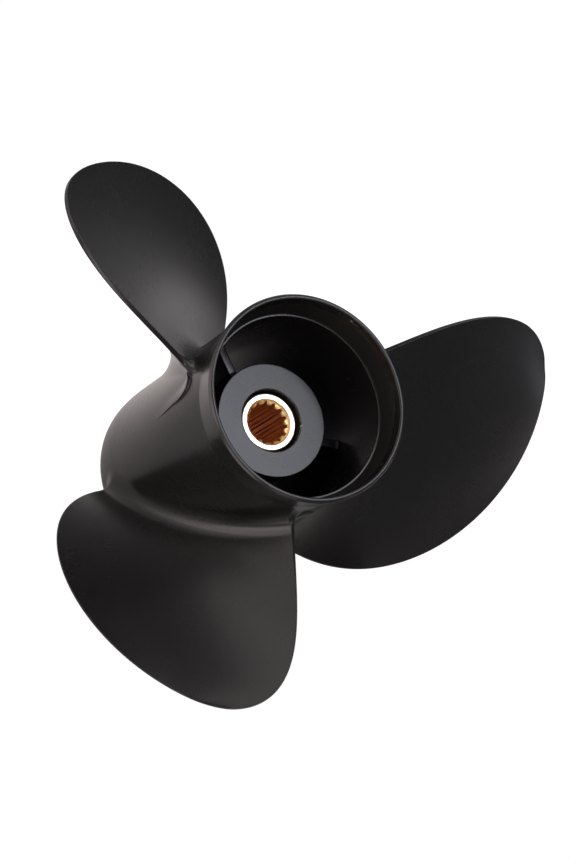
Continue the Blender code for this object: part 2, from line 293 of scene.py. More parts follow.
class Value:
    """A node's output as a number for Python sums. Each sum adds its Math node."""

    def __init__(self, graph, socket):
        self.graph = graph
        self.socket = socket

    def __add__(self, other):
        return self.graph.maths("ADD", self, other)

    def __radd__(self, other):
        return self.graph.maths("ADD", other, self)

    def __sub__(self, other):
        return self.graph.maths("SUBTRACT", self, other)

    def __rsub__(self, other):
        return self.graph.maths("SUBTRACT", other, self)

    def __mul__(self, other):
        return self.graph.maths("MULTIPLY", self, other)

    def __rmul__(self, other):
        return self.graph.maths("MULTIPLY", other, self)

    def __truediv__(self, other):
        return self.graph.maths("DIVIDE", self, other)

    def __rtruediv__(self, other):
        return self.graph.maths("DIVIDE", other, self)


class Graph:
    """Builds the nodes of one material or one geometry tree."""

    def __init__(self, tree):
        self.tree = tree

    def node(self, kind, settings=None, inputs=None, gives=0):
        """Adds a node, its settings first, and returns the outputs that gives names."""
        made = self.tree.nodes.new(kind)
        for name, setting in (settings or {}).items():
            setattr(made, name, setting)
        for name, content in (inputs or {}).items():
            self.fill(self.find(made.inputs, name), content)
        if isinstance(gives, tuple):
            return [Value(self, self.find(made.outputs, name)) for name in gives]
        return Value(self, self.find(made.outputs, gives))

    def find(self, sockets, name):
        """The socket with a number, or the first enabled one with a name."""
        if isinstance(name, int):
            return sockets[name]
        return next(socket for socket in sockets if socket.name == name and socket.enabled)

    def fill(self, socket, content):
        """Gives a socket a link, several links or a plain value."""
        if isinstance(content, list):
            for value in content:
                self.fill(socket, value)
        elif isinstance(content, Value):
            self.tree.links.new(content.socket, socket)
        else:
            socket.default_value = content

    def maths(self, operation, *terms):
        inputs = dict(enumerate(terms))
        return self.node("ShaderNodeMath", {"operation": operation}, inputs)

    def smallest(self, first, second):
        return self.maths("MINIMUM", first, second)

    def largest(self, first, second):
        return self.maths("MAXIMUM", first, second)

    def xyz(self, vector, names=("X", "Y", "Z")):
        """The parts of a vector."""
        return self.node("ShaderNodeSeparateXYZ", inputs={"Vector": vector}, gives=names)


def eased(share):
    """A share from 0 to 1 that starts and ends softly."""
    return share * share * (3 - 2 * share)


def rounded(corners, closed=True, steps=6):
    """Points of a flat outline whose corners, each (x, y, rounding), are rounded."""
    points = []
    count = len(corners)
    for i, (x, y, rounding) in enumerate(corners):
        here = np.array((x, y))
        if rounding == 0 or (not closed and i in (0, count - 1)):
            points.append(here)
            continue
        before = np.array(corners[i - 1][:2]) - here
        after = np.array(corners[(i + 1) % count][:2]) - here
        before /= np.linalg.norm(before)
        after /= np.linalg.norm(after)
        opening = math.acos(np.clip(before @ after, -1, 1))
        bisector = (before + after) / np.linalg.norm(before + after)
        centre = here + bisector * rounding / math.sin(opening / 2)
        start = here + before * rounding / math.tan(opening / 2) - centre
        end = here + after * rounding / math.tan(opening / 2) - centre
        sweep = math.pi - opening
        for share in np.linspace(0, 1, steps + 1):
            mixed = math.sin((1 - share) * sweep) * start + math.sin(share * sweep) * end
            points.append(centre + mixed / math.sin(sweep))
    return np.array(points)


def divided(points, longest=0.004, margin=0.0004):
    """The closed outline with more points on its long sides, so that they shade flat."""
    result = []
    for here, after in zip(points, np.roll(points, -1, axis=0)):
        result.append(here)
        length = np.linalg.norm(after - here)
        if length < 4 * margin:
            continue
        inner = np.linspace(margin / length, 1 - margin / length, max(2, int(length / longest)))
        result.extend(here + (after - here) * share for share in inner)
    return np.array(result)


def quarter(centre, sizes, start, end, steps):
    """Points along a quarter ellipse, angles in degrees, with no rounding of their own."""
    points = []
    for angle in np.radians(np.linspace(start, end, steps + 1)):
        across = centre[0] + sizes[0] * math.cos(angle)
        up = centre[1] + sizes[1] * math.sin(angle)
        points.append((across, up, 0))
    return points


def finished_object(name, data):
    """An object in the scene that shows a mesh, a light or a camera."""
    thing = bpy.data.objects.new(name, data)
    bpy.context.scene.collection.objects.link(thing)
    return thing


def mesh_of_rows(name, rows, closed_rows=False, caps=False):
    """A mesh whose rows of points are closed loops, joined row to row.

    Closed rows join the last loop to the first. Caps close both ends.
    """
    rows = np.asarray(rows)
    levels, count = rows.shape[:2]
    faces = []
    for level in range(levels if closed_rows else levels - 1):
        lower = level * count
        upper = (level + 1) % levels * count
        for i in range(count):
            j = (i + 1) % count
            faces.append((lower + i, lower + j, upper + j, upper + i))
    if caps:
        last = (levels - 1) * count
        faces.append(tuple(range(count)))
        faces.append(tuple(last + i for i in range(count)))
    mesh = bpy.data.meshes.new(name)
    mesh.from_pydata(rows.reshape(-1, 3).tolist(), [], faces)
    return mesh


def clean(mesh, merge=0.000002):
    """Merges doubled points, points the faces outwards and shades them smooth."""
    raw = bmesh.new()
    raw.from_mesh(mesh)
    bmesh.ops.remove_doubles(raw, verts=raw.verts, dist=merge)
    bmesh.ops.recalc_face_normals(raw, faces=raw.faces)
    raw.to_mesh(mesh)
    raw.free()
    mesh.shade_smooth()


def turned(name, outline, segments, finish):
    """A ring turned from a closed outline of radius and height."""
    outline = divided(outline)
    angles = np.linspace(0, 2 * math.pi, segments, endpoint=False)
    radius, height = outline[:, 0], outline[:, 1]
    rows = [
        np.stack([radius * math.cos(a), radius * math.sin(a), height], axis=1) for a in angles
    ]
    mesh = mesh_of_rows(name, rows, closed_rows=True)
    clean(mesh)
    mesh.materials.append(finish)
    return finished_object(name, mesh)


def make_barrel(finish):
    """The outer tube, with its rounded nose, flared mouth and the step inside the mouth."""
    step_height = LENGTH - MOUTH_DEPTH
    nose_size = (BARREL_RADIUS_FORWARD - NOSE_RADIUS, NOSE_LENGTH)
    corners = [
        (FLARE_RADIUS - RIM_BEVEL, LENGTH, RIM_CREST_ROUNDING),
        (FLARE_RADIUS, LENGTH - RIM_BEVEL_LENGTH, RIM_SIDE_ROUNDING),
        (BARREL_RADIUS_AFT, LENGTH - FLARE_LENGTH, CREASE_ROUNDING),
    ]
    corners += quarter((NOSE_RADIUS, NOSE_LENGTH), nose_size, 0, NOSE_END_ANGLE, NOSE_STEPS)
    corners += [
        (NOSE_RADIUS, 0, SHARP_EDGE),
        (PASSAGE_RADIUS_FORWARD, 0, PASSAGE_END_ROUNDING),
        (PASSAGE_RADIUS_AFT, step_height, SHARP_EDGE),
        (PASSAGE_RADIUS_AFT + MOUTH_STEP, step_height, SHARP_EDGE),
        (MOUTH_RADIUS, LENGTH, RIM_INNER_ROUNDING),
    ]
    return turned("barrel_shell", rounded(corners), BARREL_SEGMENTS, finish)


def make_inner_hub(finish):
    """The tube that holds the bush, with a narrower mouth round the sleeve."""
    corners = [
        (HUB_RADIUS, HUB_AFT, HUB_EDGE),
        (HUB_RADIUS, HUB_FORWARD, HUB_EDGE),
        (BUSH_RADIUS, HUB_FORWARD, HUB_EDGE),
        (BUSH_RADIUS, HUB_AFT - HUB_MOUTH_DEPTH, HUB_SEAT_EDGE),
        (HUB_MOUTH_RADIUS, HUB_AFT - HUB_MOUTH_DEPTH, HUB_SEAT_EDGE),
        (HUB_MOUTH_RADIUS, HUB_AFT, HUB_EDGE),
    ]
    return turned("hub_tube", rounded(corners), HUB_SEGMENTS, finish)


def make_rubber_bush(finish):
    """The rubber ring between hub and sleeve, with a groove in its forward face."""
    aft = HUB_AFT - HUB_MOUTH_DEPTH - PRESS_FIT_GAP
    outer = BUSH_RADIUS - PRESS_FIT_GAP
    inner = SLEEVE_RADIUS + PRESS_FIT_GAP
    groove = (outer + inner) / 2
    corners = [
        (outer, aft, BUSH_EDGE),
        (outer, BUSH_FORWARD, BUSH_LIP_EDGE),
        (groove + BUSH_GROOVE_HALF_WIDTH, BUSH_FORWARD, BUSH_LIP_EDGE),
        (groove, BUSH_FORWARD + BUSH_GROOVE_DEPTH, BUSH_GROOVE_ROUNDING),
        (groove - BUSH_GROOVE_HALF_WIDTH, BUSH_FORWARD, BUSH_LIP_EDGE),
        (inner, BUSH_FORWARD, BUSH_EDGE),
        (inner, aft, BUSH_EDGE),
    ]
    return turned("bush_ring", rounded(corners), HUB_SEGMENTS, finish)


def tooth_outline():
    """One tooth space of the bore, from tooth middle to tooth middle, as angle and radius."""
    half = math.degrees(math.pi / SPLINE_TEETH)
    polar = [
        (SPLINE_TIP_RADIUS, half, 0),
        (SPLINE_TIP_RADIUS, SPLINE_TIP_HALF_ANGLE, SPLINE_TIP_ROUNDING),
        (SPLINE_FLANK_RADIUS, SPLINE_FLANK_HALF_ANGLE, SPLINE_FLANK_ROUNDING),
        (SPLINE_ROOT_RADIUS, SPLINE_ROOT_HALF_ANGLE, SHARP_EDGE),
    ]
    both = [(radius, -angle, rounding) for radius, angle, rounding in polar] + polar[::-1]
    corners = []
    for radius, angle, rounding in both:
        turn = math.radians(angle)
        corners.append((radius * math.cos(turn), radius * math.sin(turn), rounding))
    points = rounded(corners, closed=False, steps=4)
    return np.arctan2(points[:, 1], points[:, 0]), np.hypot(points[:, 0], points[:, 1])


def sleeve_sector(name):
    """A slice of the sleeve round one tooth space, closed along its profile, with open sides."""
    angles, bores = tooth_outline()
    flat = SLEEVE_EDGE + EDGE_MARGIN
    outside = rounded(
        [
            (CHAMFER_RADIUS, SLEEVE_AFT, 0),
            (CHAMFER_RADIUS + EDGE_MARGIN, SLEEVE_AFT, 0),
            (SLEEVE_RADIUS - flat, SLEEVE_AFT, 0),
            (SLEEVE_RADIUS, SLEEVE_AFT, SLEEVE_EDGE),
            (SLEEVE_RADIUS, SLEEVE_AFT - flat, 0),
            (SLEEVE_RADIUS, SLEEVE_FORWARD + flat, 0),
            (SLEEVE_RADIUS, SLEEVE_FORWARD, SLEEVE_EDGE),
            (SLEEVE_RADIUS - flat, SLEEVE_FORWARD, 0),
            (CHAMFER_RADIUS + EDGE_MARGIN, SLEEVE_FORWARD, 0),
            (CHAMFER_RADIUS, SLEEVE_FORWARD, 0),
        ],
        closed=False,
        steps=4,
    )
    end_radii, end_drops = np.array(TOOTH_END).T
    columns = []
    for angle, bore in zip(angles, bores):
        radii = np.maximum(end_radii, bore)
        drops = np.interp(-radii, -end_radii, end_drops)
        front = np.stack([radii, SLEEVE_FORWARD + drops], axis=1)
        lowest = SLEEVE_FORWARD + drops[-1] + EDGE_MARGIN
        heights = np.linspace(lowest, SLEEVE_FORWARD + SLEEVE_AFT - lowest, WALL_ROWS)
        wall = np.stack([np.full(WALL_ROWS, bore), heights], axis=1)
        aft = np.stack([radii, SLEEVE_AFT - drops], axis=1)[::-1]
        profile = np.concatenate([outside, front, wall, aft])
        radius, height = profile[:, 0], profile[:, 1]
        columns.append(
            np.stack([radius * math.cos(angle), radius * math.sin(angle), height], axis=1)
        )
    return mesh_of_rows(name, columns)


def geometry_tree(name, sizes):
    """An empty geometry tree with its mesh and its named sizes as inputs."""
    tree = bpy.data.node_groups.new(name, "GeometryNodeTree")
    tree.interface.new_socket("Geometry", in_out="INPUT", socket_type="NodeSocketGeometry")
    for size, kind in sizes:
        tree.interface.new_socket(size, in_out="INPUT", socket_type=kind)
    tree.interface.new_socket("Geometry", in_out="OUTPUT", socket_type="NodeSocketGeometry")
    graph = Graph(tree)
    names = ("Geometry",) + tuple(size for size, kind in sizes)
    return graph, graph.node("NodeGroupInput", gives=names)


def end_tree(graph, geometry, finish):
    """Realizes the instances, gives them their finish and ends the tree."""
    real = graph.node("GeometryNodeRealizeInstances", inputs={"Geometry": geometry})
    smooth = graph.node("GeometryNodeSetShadeSmooth", inputs={"Geometry": real})
    painted = graph.node(
        "GeometryNodeSetMaterial", inputs={"Geometry": smooth, "Material": finish}
    )
    graph.node("NodeGroupOutput", inputs={"Geometry": painted}, gives=())


def grown(name, mesh, tree, values):
    """A plain mesh object: the tree's result on a mesh, for the given named inputs."""
    source = finished_object(name + "_source", mesh)
    modifier = source.modifiers.new("tree", "NODES")
    modifier.node_group = tree
    for item in tree.interface.items_tree:
        if item.item_type == "SOCKET" and item.in_out == "INPUT" and item.name in values:
            modifier[item.identifier] = values[item.name]
    evaluated = source.evaluated_get(bpy.context.evaluated_depsgraph_get())
    result = bpy.data.meshes.new_from_object(evaluated)
    result.name = name
    bpy.data.objects.remove(source)
    return finished_object(name, result)


def copies_round_shaft(graph, mesh, count, first_angle):
    """Instances of a mesh, set evenly round the shaft."""
    points = graph.node("GeometryNodePoints", inputs={"Count": count}, gives="Points")
    index = graph.node("GeometryNodeInputIndex")
    turn = first_angle + index * (2 * math.pi / count)
    rotation = graph.node("ShaderNodeCombineXYZ", inputs={"Z": turn})
    inputs = {"Points": points, "Instance": mesh, "Rotation": rotation}
    return graph.node("GeometryNodeInstanceOnPoints", inputs=inputs)


def ring_tree(finish):
    """Copies a mesh evenly round the shaft."""
    sizes = (("Count", "NodeSocketInt"), ("First angle", "NodeSocketFloat"))
    graph, (mesh, count, first_angle) = geometry_tree("set_round_shaft_" + finish.name, sizes)
    end_tree(graph, copies_round_shaft(graph, mesh, count, first_angle), finish)
    return graph.tree


def set_round_shaft(name, mesh, count, first_angle, finish):
    values = {"Count": count, "First angle": first_angle}
    thing = grown(name, mesh, ring_tree(finish), values)
    clean(thing.data)
    return thing


def make_sleeve(finish):
    sector = sleeve_sector("tooth_space")
    return set_round_shaft("splined_sleeve", sector, SPLINE_TEETH, SPLINE_ANGLE, finish)


def passage_radius(height):
    """Inner radius of the barrel's exhaust passage at a height."""
    share = height / (LENGTH - MOUTH_DEPTH)
    return PASSAGE_RADIUS_FORWARD + (PASSAGE_RADIUS_AFT - PASSAGE_RADIUS_FORWARD) * share


def rib_mesh():
    """A plate from hub to barrel with rounded corners, which flares where it meets both walls."""
    corner = np.radians(np.linspace(0, 90, RIB_CORNER_POINTS))
    side = np.repeat((1.0, -1.0), RIB_CORNER_POINTS)
    reach = np.concatenate([np.cos(corner), -np.cos(corner[::-1])])
    rise = np.concatenate([np.sin(corner), np.sin(corner[::-1])])
    rows = []
    gap = PASSAGE_RADIUS_AFT - HUB_RADIUS
    for share in (1 - np.cos(np.linspace(0, math.pi, RIB_ROWS))) / 2:
        distance = min(share, 1 - share) * gap
        inside = max(RIB_FILLET - distance, 0)
        flare = RIB_FILLET - math.sqrt(RIB_FILLET**2 - inside**2)
        half = RIB_THICKNESS / 2 + flare
        top = RIB_AFT + flare - RIB_CORNER
        foot = RIB_FORWARD - flare + RIB_CORNER
        edge = side * (half - RIB_CORNER) + RIB_CORNER * reach
        across = np.concatenate([edge, -edge])
        height = np.concatenate([top + RIB_CORNER * rise, foot - RIB_CORNER * rise])
        start = HUB_RADIUS - RIB_SINK
        along = start + (passage_radius(height) + RIB_SINK - start) * share
        rows.append(np.stack([along, across, height], axis=1))
    return mesh_of_rows("rib_plate", rows, caps=True)


def make_ribs(finish):
    return set_round_shaft("ribs", rib_mesh(), BLADES, RIB_ANGLE, finish)


def along_span(values, share):
    """A smooth curve through the blade's stations, for shares of the span from 0 to 1."""
    stations = np.linspace(0, 1, len(values))
    return np.polyval(np.polyfit(stations, values, len(values) - 1), share)


def section_template():
    """The points round a blade section, each as share of the chord from the leading edge,
    depth as a share of the thickness, rounding, direction outward, and root fillet.
    """
    share = (1 - np.cos(np.linspace(0, math.pi, CHORD_POINTS))) / 2
    corner_depth = TRAILING_CORNER / TRAILING_THICKNESS
    flat = np.linspace(corner_depth, 1 - corner_depth, FLAT_POINTS)
    falling = np.linspace(90, 0, CORNER_POINTS)
    small = eased(np.clip((share - BACK_FILLET_START) / (1 - BACK_FILLET_START), 0, 1))
    back_fillets = FILLET_RADIUS + (BACK_FILLET_RADIUS - FILLET_RADIUS) * small
    edge_fillets = np.linspace(FILLET_RADIUS, BACK_FILLET_RADIUS, 2 * CORNER_POINTS + FLAT_POINTS)
    rows = [(u, 0, 0, 90, FILLET_RADIUS) for u in share]
    rows += [(1, corner_depth, TRAILING_CORNER, turn, 0) for turn in falling]
    rows += [(1, depth, TRAILING_CORNER, 0, 0) for depth in flat]
    rows += [(1, 1 - corner_depth, TRAILING_CORNER, turn - 90, 0) for turn in falling]
    rows += [(u, 1, 0, -90, fillet) for u, fillet in zip(share[::-1], back_fillets[::-1])]
    nose = np.linspace(270, 90, NOSE_POINTS)[1:-1]
    rows += [(0, 0.5, LEADING_THICKNESS / 2, turn, FILLET_RADIUS) for turn in nose]
    template = np.array(rows, dtype=float)
    template[CHORD_POINTS : CHORD_POINTS + len(edge_fillets), 4] = edge_fillets
    return template


def span_at(radius):
    """How far out a radius lies, from 0 at the barrel to 1 at the tip."""
    return np.clip((radius - BLADE_ROOT_RADIUS) / (DIAMETER / 2 - BLADE_ROOT_RADIUS), 0, 1)


def share_at(radius):
    """The share of the blade's stations at which it has a radius."""
    return np.arcsin(span_at(radius)) * 2 / math.pi


def blade_section(template, radius, growth, fullness):
    """Outline of a section: along the chord, then out of the pressure face.

    Growth moves each point outward. Fullness thins the section evenly where the tip closes.
    """
    share, depth, rounding, turn = template[:, :4].T
    chord = np.maximum(along_span(BLADE_CHORDS, share_at(radius)), 0)
    hump = 4 * share * (1 - share)
    bulge = ROOT_BULGE + (TIP_BULGE - ROOT_BULGE) * span_at(radius)
    bulge *= np.minimum(1, chord / FULL_BULGE_CHORD)
    thickness = LEADING_THICKNESS + (TRAILING_THICKNESS - LEADING_THICKNESS) * share
    thickness += bulge * hump**BULGE_SHARPNESS
    face = -FACE_HOLLOW * chord * hump - thickness * (1 - fullness) / 2
    edge = np.minimum(TRAILING_CORNER * fullness, chord)
    out = rounding * fullness + growth
    along = -chord / 2 + share * (chord - edge) + out * np.cos(np.radians(turn))
    level = face - depth * thickness * fullness + out * np.sin(np.radians(turn))
    return along, level


def blade_levels(template):
    """The blade's rows from inside the barrel to the tip: radius, growth and fullness."""
    fillet = template[:, 4]
    level_row = np.ones_like(fillet)
    levels = [
        (level_row * (BLADE_ROOT_RADIUS - ROOT_SINK), fillet + 2 * ROOT_OVERLAP, 1),
        (level_row * (BLADE_ROOT_RADIUS - ROOT_DIP), fillet + ROOT_OVERLAP, 1),
    ]
    for turn in np.linspace(math.pi / 2, 0, FILLET_ROWS + 1)[:-1]:
        radius = BLADE_ROOT_RADIUS + fillet * (1 - math.sin(turn))
        levels.append((radius, fillet * (1 - math.cos(turn)), 1))
    tip = DIAMETER / 2
    edge = LEADING_THICKNESS / 2
    first = share_at(BLADE_ROOT_RADIUS + FILLET_RADIUS)
    last = share_at(tip - edge)
    for share in np.linspace(first, last, SPAN_ROWS):
        radius = BLADE_ROOT_RADIUS + (tip - BLADE_ROOT_RADIUS) * math.sin(math.pi * share / 2)
        levels.append((level_row * radius, 0, 1))
    for turn in np.linspace(0, math.pi / 2, TIP_ROWS + 1)[1:]:
        radius = tip - edge + edge * math.sin(turn)
        levels.append((level_row * radius, 0, math.cos(turn)))
    return levels


def blade_sheet():
    """The blade laid out flat: along the chord, out of the face, and the radius upward."""
    template = section_template()
    rows = []
    shares = []
    radii = []
    for radius, growth, fullness in blade_levels(template):
        along, level = blade_section(template, radius, growth, fullness)
        rows.append(np.stack([along, level, radius], axis=1))
        shares.append(share_at(radius))
        radii.append(radius)
    above = (np.concatenate(radii) - BLADE_ROOT_RADIUS - FILLET_RADIUS) / FOLLOW_HEIGHT
    fade = 1 - np.clip(above, 0, 1)
    shares = np.concatenate(shares)
    mesh = mesh_of_rows("blade_sheet", rows)
    for name, values in (
        ("middle_angle", np.radians(along_span(BLADE_MIDDLE_ANGLES, shares))),
        ("middle_height", along_span(BLADE_MIDDLE_HEIGHTS, shares)),
        ("follow", eased(fade)),
    ):
        mesh.attributes.new(name, "FLOAT", "POINT").data.foreach_set("value", values)
    return mesh


def named_number(graph, name):
    """A number that the mesh carries for each of its points."""
    settings = {"data_type": "FLOAT"}
    return graph.node("GeometryNodeInputNamedAttribute", settings, {"Name": name}, "Attribute")


def blade_tree(finish):
    """Wraps the flat blade onto its pitch helix and its root onto the barrel."""
    sizes = (("Pitch", "NodeSocketFloat"), ("Turn", "NodeSocketFloat"))
    graph, (mesh, pitch, turn) = geometry_tree("pitch_helix", sizes)

    along, out, radius = graph.xyz(graph.node("GeometryNodeInputPosition"))
    slope = graph.maths("ARCTAN2", pitch, radius * (2 * math.pi))
    level = graph.maths("COSINE", slope)
    rise = graph.maths("SINE", slope)
    wrap = (along * level - out * rise) / radius
    angle = named_number(graph, "middle_angle") + wrap + turn
    height = named_number(graph, "middle_height") + along * rise + out * level
    taper = (BARREL_RADIUS_AFT - BARREL_RADIUS_FORWARD) / (LENGTH - FLARE_LENGTH - NOSE_LENGTH)
    tapered = BARREL_RADIUS_FORWARD + graph.largest(height - NOSE_LENGTH, 0) * taper
    nose_share = graph.smallest(graph.largest(1 - height / NOSE_LENGTH, 0), 1)
    nose_depth = 1 - graph.maths("SQRT", 1 - nose_share * nose_share)
    barrel = tapered - nose_depth * (BARREL_RADIUS_FORWARD - NOSE_RADIUS)
    reach = radius + named_number(graph, "follow") * (barrel - BLADE_ROOT_RADIUS)
    x = reach * graph.maths("COSINE", angle)
    y = reach * graph.maths("SINE", angle)
    place = graph.node("ShaderNodeCombineXYZ", inputs={"X": x, "Y": y, "Z": height})
    wrapped = graph.node("GeometryNodeSetPosition", inputs={"Geometry": mesh, "Position": place})
    end_tree(graph, wrapped, finish)
    return graph.tree


def close_root(mesh, count):
    """Closes the blade's open end inside the barrel's wall with a strip of faces."""
    raw = bmesh.new()
    raw.from_mesh(mesh)
    raw.verts.ensure_lookup_table()
    ring = [raw.verts[i] for i in range(count)]
    nose = NOSE_POINTS // 2
    for i in range(count // 2):
        corners = [ring[i - nose], ring[i + 1 - nose], ring[-nose - 2 - i], ring[-nose - 1 - i]]
        distinct = list(dict.fromkeys(corners))
        if len(distinct) > 2:
            raw.faces.new(distinct)
    raw.to_mesh(mesh)
    raw.free()


def make_blades(finish):
    tree = blade_tree(finish)
    count = len(section_template())
    blades = []
    for index in range(BLADES):
        name = f"blade_skin_{index + 1}"
        values = {"Pitch": PITCH, "Turn": index * 2 * math.pi / BLADES}
        blade = grown(name, blade_sheet(), tree, values)
        close_root(blade.data, count)
        for attribute in ("middle_angle", "middle_height", "follow"):
            blade.data.attributes.remove(blade.data.attributes[attribute])
        clean(blade.data)
        blades.append(blade)
    return blades


def smooth_path(points, rows):
    """A smooth line through points, as evenly spaced rows."""
    points = np.array(points)
    knots = np.concatenate([[0], np.cumsum(np.linalg.norm(np.diff(points, axis=0), axis=1))])
    slopes = np.gradient(points, knots, axis=0)
    places = np.linspace(0, knots[-1], rows)
    spots = np.clip(np.searchsorted(knots, places) - 1, 0, len(knots) - 2)
    step = (knots[spots + 1] - knots[spots])[:, None]
    t = (places - knots[spots])[:, None] / step
    return (
        (2 * t**3 - 3 * t**2 + 1) * points[spots]
        + (t**3 - 2 * t**2 + t) * step * slopes[spots]
        + (3 * t**2 - 2 * t**3) * points[spots + 1]
        + (t**3 - t**2) * step * slopes[spots + 1]
    )


def ledge_profile(share):
    """The ledge's outline at a share of its path: across it and up from the surface.

    A hollow foot rises to a lip, and a wide land falls away behind it. The rest is sunk.
    """
    rise = min(LEDGE_FIRST_HEIGHT + share / LEDGE_RISE, 1)
    fade = rise * min(1, LEDGE_FALL * (1 - share) ** LEDGE_FALL_POWER)
    height = LEDGE_HEIGHT * fade
    hollow = height * LEDGE_HOLLOW
    arc = np.radians(np.linspace(*LEDGE_HOLLOW_ANGLES, LEDGE_HOLLOW_POINTS))
    foot = np.stack([-hollow + hollow * np.cos(arc), hollow - hollow * np.sin(arc)], axis=1)
    lip = np.array(LEDGE_LIP) * height
    land = np.linspace(0, 1, LEDGE_LAND_POINTS)[1:, None]
    width = LEDGE_WIDTH * (LEDGE_LEAST_WIDTH + (1 - LEDGE_LEAST_WIDTH) * fade) * (1 + share)
    fall = height * (1 + np.cos(math.pi * land)) / 2
    top = np.hstack([LEDGE_LIP_END * height + width * land, fall])
    profile = np.concatenate([foot, lip, top])
    first = profile[0] + [-LEDGE_SKIRT, -LEDGE_DIP]
    last = profile[-1] + [LEDGE_SKIRT, -LEDGE_DIP]
    below = [[last[0], -LEDGE_SINK], [first[0], -LEDGE_SINK]]
    return np.concatenate([[first], profile, [last], below])


def ledge_sheet():
    """The ledge laid out round the first blade's root, with the lift of each point."""
    path = smooth_path(LEDGE_PATH, LEDGE_ROWS)
    forward = np.gradient(path, axis=0)
    forward /= np.linalg.norm(forward, axis=1)[:, None]
    side = np.stack([forward[:, 1], -forward[:, 0]], axis=1)
    slope = math.atan2(PITCH, 2 * math.pi * BLADE_ROOT_RADIUS)
    middle = math.radians(BLADE_MIDDLE_ANGLES[0])
    rows = []
    lifts = []
    for i, share in enumerate(np.linspace(0, 1, LEDGE_ROWS)):
        across, lift = ledge_profile(share).T
        along, out = (path[i] + side[i] * across[:, None]).T
        run = along * math.cos(slope) - out * math.sin(slope)
        angle = middle + run / BLADE_ROOT_RADIUS
        height = BLADE_MIDDLE_HEIGHTS[0] + along * math.sin(slope) + out * math.cos(slope)
        x, y = RAY_RADIUS * np.cos(angle), RAY_RADIUS * np.sin(angle)
        rows.append(np.stack([x, y, height], axis=1))
        lifts.extend(lift)
    mesh = mesh_of_rows("ledge_sheet", rows, caps=True)
    mesh.attributes.new("lift", "FLOAT", "POINT").data.foreach_set("value", lifts)
    return mesh


def ledge_tree(barrel, blade, finish):
    """Drops the sheet onto the blade's root and the barrel, and sets it round the shaft."""
    sizes = (("Count", "NodeSocketInt"),)
    graph, (mesh, count) = geometry_tree("parting_ledge", sizes)
    shapes = [
        graph.node("GeometryNodeObjectInfo", inputs={"Object": thing}, gives="Geometry")
        for thing in (barrel, blade)
    ]
    casting = graph.node("GeometryNodeJoinGeometry", inputs={"Geometry": shapes})
    position = graph.node("GeometryNodeInputPosition")
    x, y = graph.xyz(position, ("X", "Y"))
    inward = graph.node("ShaderNodeCombineXYZ", inputs={"X": 0 - x, "Y": 0 - y})
    hit, normal = graph.node(
        "GeometryNodeRaycast",
        inputs={
            "Target Geometry": casting,
            "Source Position": position,
            "Ray Direction": inward,
            "Ray Length": RAY_RADIUS,
        },
        gives=("Hit Position", "Hit Normal"),
    )
    lift = named_number(graph, "lift")
    raised = graph.node(
        "ShaderNodeVectorMath", {"operation": "SCALE"}, {"Vector": normal, "Scale": lift}
    )
    place = graph.node("ShaderNodeVectorMath", {"operation": "ADD"}, {0: hit, 1: raised})
    fitted = graph.node("GeometryNodeSetPosition", inputs={"Geometry": mesh, "Position": place})
    end_tree(graph, copies_round_shaft(graph, fitted, count, 0), finish)
    return graph.tree


def make_ledges(barrel, blade, finish):
    tree = ledge_tree(barrel, blade, finish)
    ledges = grown("parting_ledges", ledge_sheet(), tree, {"Count": BLADES})
    ledges.data.attributes.remove(ledges.data.attributes["lift"])
    clean(ledges.data)
    return ledges


def new_material(name):
    """A material, the graph of its nodes and its shader."""
    made = bpy.data.materials.new(name)
    made.use_nodes = True
    return made, Graph(made.node_tree), made.node_tree.nodes["Principled BSDF"]


def noise(graph, place, scale, detail=2.0):
    inputs = {"Vector": place, "Scale": scale, "Detail": detail}
    return graph.node("ShaderNodeTexNoise", inputs=inputs, gives="Fac")


def blend(graph, share, first, second):
    """A colour between two, by a share that varies over the surface."""
    inputs = {"Factor": share, "A": first, "B": second}
    return graph.node("ShaderNodeMix", {"data_type": "RGBA"}, inputs, "Result")


def grey(graph, brightness, green=1, blue=1):
    """A colour of varying brightness, with its green and blue shares."""
    parts = {"X": brightness, "Y": brightness * green, "Z": brightness * blue}
    return graph.node("ShaderNodeCombineXYZ", inputs=parts)


def raise_surface(graph, shader, height):
    """Bumps the shader's surface by a height in metres."""
    bump = graph.node("ShaderNodeBump", inputs={"Distance": 1.0, "Height": height})
    graph.fill(shader.inputs["Normal"], bump)


def satin_black_paint():
    """Even satin paint on a cast surface: faint waves of the mould, and fine paint grain.

    Inside the barrel's mouth the paint is matt, and its colour is darker there as painted shade.
    """
    made, graph, shader = new_material("satin_black_paint")
    place = graph.node("ShaderNodeTexCoord", gives="Object")
    waves = noise(graph, place, PAINT_WAVES, detail=3)
    grain = noise(graph, place, PAINT_GRAIN)
    mottle = noise(graph, place, PAINT_MOTTLE, detail=3)
    x, y, z = graph.xyz(place)
    radius = graph.maths("SQRT", x * x + y * y)
    within = graph.maths("LESS_THAN", radius, MOUTH_RADIUS - RIM_INNER_ROUNDING)
    mouth = within * graph.maths("GREATER_THAN", z, LENGTH - MOUTH_DEPTH)
    even = blend(graph, mottle, PAINT_DARK, PAINT_LIGHT)
    # Inside the mouth the colour is darkened as painted shade, and the roughness rises
    graph.fill(shader.inputs["Base Color"], blend(graph, mouth, even, PAINT_SHADE_IN_MOUTH))
    roughness = PAINT_ROUGHNESS + WAVE_ROUGHNESS * waves + MOTTLE_ROUGHNESS * mottle
    graph.fill(shader.inputs["Roughness"], roughness + MOUTH_ROUGHNESS * mouth)
    height = waves * WAVE_HEIGHT + mottle * MOTTLE_HEIGHT + grain * GRAIN_HEIGHT
    raise_surface(graph, shader, height)
    return made


